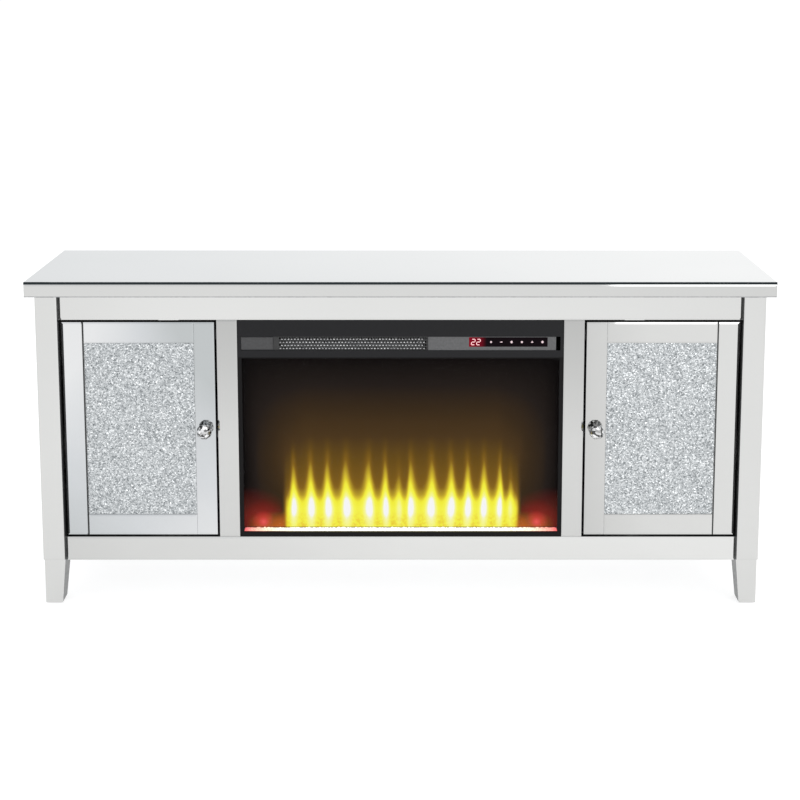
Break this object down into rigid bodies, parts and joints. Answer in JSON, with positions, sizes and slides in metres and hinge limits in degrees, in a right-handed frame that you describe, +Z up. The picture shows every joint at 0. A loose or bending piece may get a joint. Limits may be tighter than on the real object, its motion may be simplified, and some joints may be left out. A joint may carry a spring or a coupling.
{
  "type": "electric fireplace console",
  "caption": "Mirrored media console with an electric fireplace insert between two inset doors with crushed crystal panels and crystal knobs.",
  "frame": {"origin": "on the floor under the middle of the table top", "axes": "+Z up, +X to the right seen from the front, the front faces -Y"},
  "size_m": [1.5, 0.405, 0.677],
  "materials": {
    "silver_lacquer": "silver lacquered fibreboard",
    "cabinet_board": "light grey laminated board",
    "back_board": "thin grey hardboard",
    "mirror": "silvered mirror glass with bevelled edges",
    "crushed_crystal": "crushed mirror crystals set in clear resin",
    "clear_crystal": "faceted clear crystal",
    "chrome": "polished chrome",
    "hinge_steel": "nickel plated steel",
    "nylon": "grey nylon",
    "black_steel": "black powder coat on sheet steel",
    "zinc_steel": "zinc plated sheet steel",
    "control_plastic": "dark grey moulded plastic",
    "rocker_plastic": "black switch plastic",
    "display_gloss": "black display window with red digits",
    "circuit_board": "green circuit board",
    "front_glass": "clear tempered glass",
    "flame_screen": "smoked screen with the flame image",
    "ember_crystal": "clear ember crystals lit from below",
    "drive_aluminium": "bright aluminium",
    "motor_steel": "motor can steel"
  },
  "bodies": {
    "cabinet": {"back_panels": "back_board", "blower_housing": "zinc_steel", "blower_motor": "motor_steel", "bottom_panel": "cabinet_board", "centre_stiles": "silver_lacquer", "control_board": "circuit_board", "control_plate": "control_plastic", "cord_gland": "control_plastic", "cover_screws": "hinge_steel", "display_window": "display_gloss", "dividers": "cabinet_board", "ember_crystals": "ember_crystal", "ember_tray": "control_plastic", "flame_screen": "flame_screen", "foot_glides": "nylon", "foot_mirrors": "mirror", "frame_mirrors": "mirror", "front_glass": "front_glass", "front_legs": "silver_lacquer", "front_rails": "silver_lacquer", "heater_deck": "zinc_steel", "heater_element": "drive_aluminium", "hinge_arms": "hinge_steel", "hinge_rails": "cabinet_board", "insert_back_cover": "black_steel", "insert_bezel": "black_steel", "insert_casing": "black_steel", "led_strip": "circuit_board", "leg_mirrors": "mirror", "magnetic_catches": "nylon", "outlet_grille": "black_steel", "rear_legs": "silver_lacquer", "rear_rails": "cabinet_board", "rocker_body": "control_plastic", "shelf_pegs": "hinge_steel", "shelves": "cabinet_board", "side_mirrors": "mirror", "side_panels": "silver_lacquer", "spindle_bearing": "nylon", "spindle_motor": "motor_steel", "top_board": "silver_lacquer", "top_edge_mirrors": "mirror", "top_mirror": "mirror"},
    "left_door": {"left_door_panel": "silver_lacquer", "left_door_mirrors": "mirror", "left_crystal_panel": "crushed_crystal", "left_knob_base": "chrome", "left_knob_crystal": "clear_crystal", "left_hinge_cups": "hinge_steel", "left_strike_plate": "hinge_steel"},
    "right_door": {"right_door_panel": "silver_lacquer", "right_door_mirrors": "mirror", "right_crystal_panel": "crushed_crystal", "right_knob_base": "chrome", "right_knob_crystal": "clear_crystal", "right_hinge_cups": "hinge_steel", "right_strike_plate": "hinge_steel"},
    "flame_spindle": {"flame_spindle": "drive_aluminium"},
    "blower_impeller": {"blower_impeller": "drive_aluminium"},
    "rocker": {"rocker": "rocker_plastic"}
  },
  "joints": [
    {"name": "left_door_hinge", "type": "hinge", "parent": "cabinet", "child": "left_door", "pos_m": [-0.67, -0.1555, 0.366], "axis": [0, 0, -1], "range_deg": [0, 95]},
    {"name": "right_door_hinge", "type": "hinge", "parent": "cabinet", "child": "right_door", "pos_m": [0.67, -0.1555, 0.366], "axis": [0, 0, 1], "range_deg": [0, 95]},
    {"name": "flame_spindle_spin", "type": "hinge", "parent": "cabinet", "child": "flame_spindle", "pos_m": [0, -0.085, 0.1755], "axis": [1, 0, 0], "continuous": true},
    {"name": "blower_spin", "type": "hinge", "parent": "cabinet", "child": "blower_impeller", "pos_m": [-0.09, -0.035, 0.554], "axis": [1, 0, 0], "continuous": true},
    {"name": "rocker_tilt", "type": "hinge", "parent": "cabinet", "child": "rocker", "pos_m": [0.265, 0.0248, 0.542], "axis": [1, 0, 0], "range_deg": [-14, 0]}
  ]
}
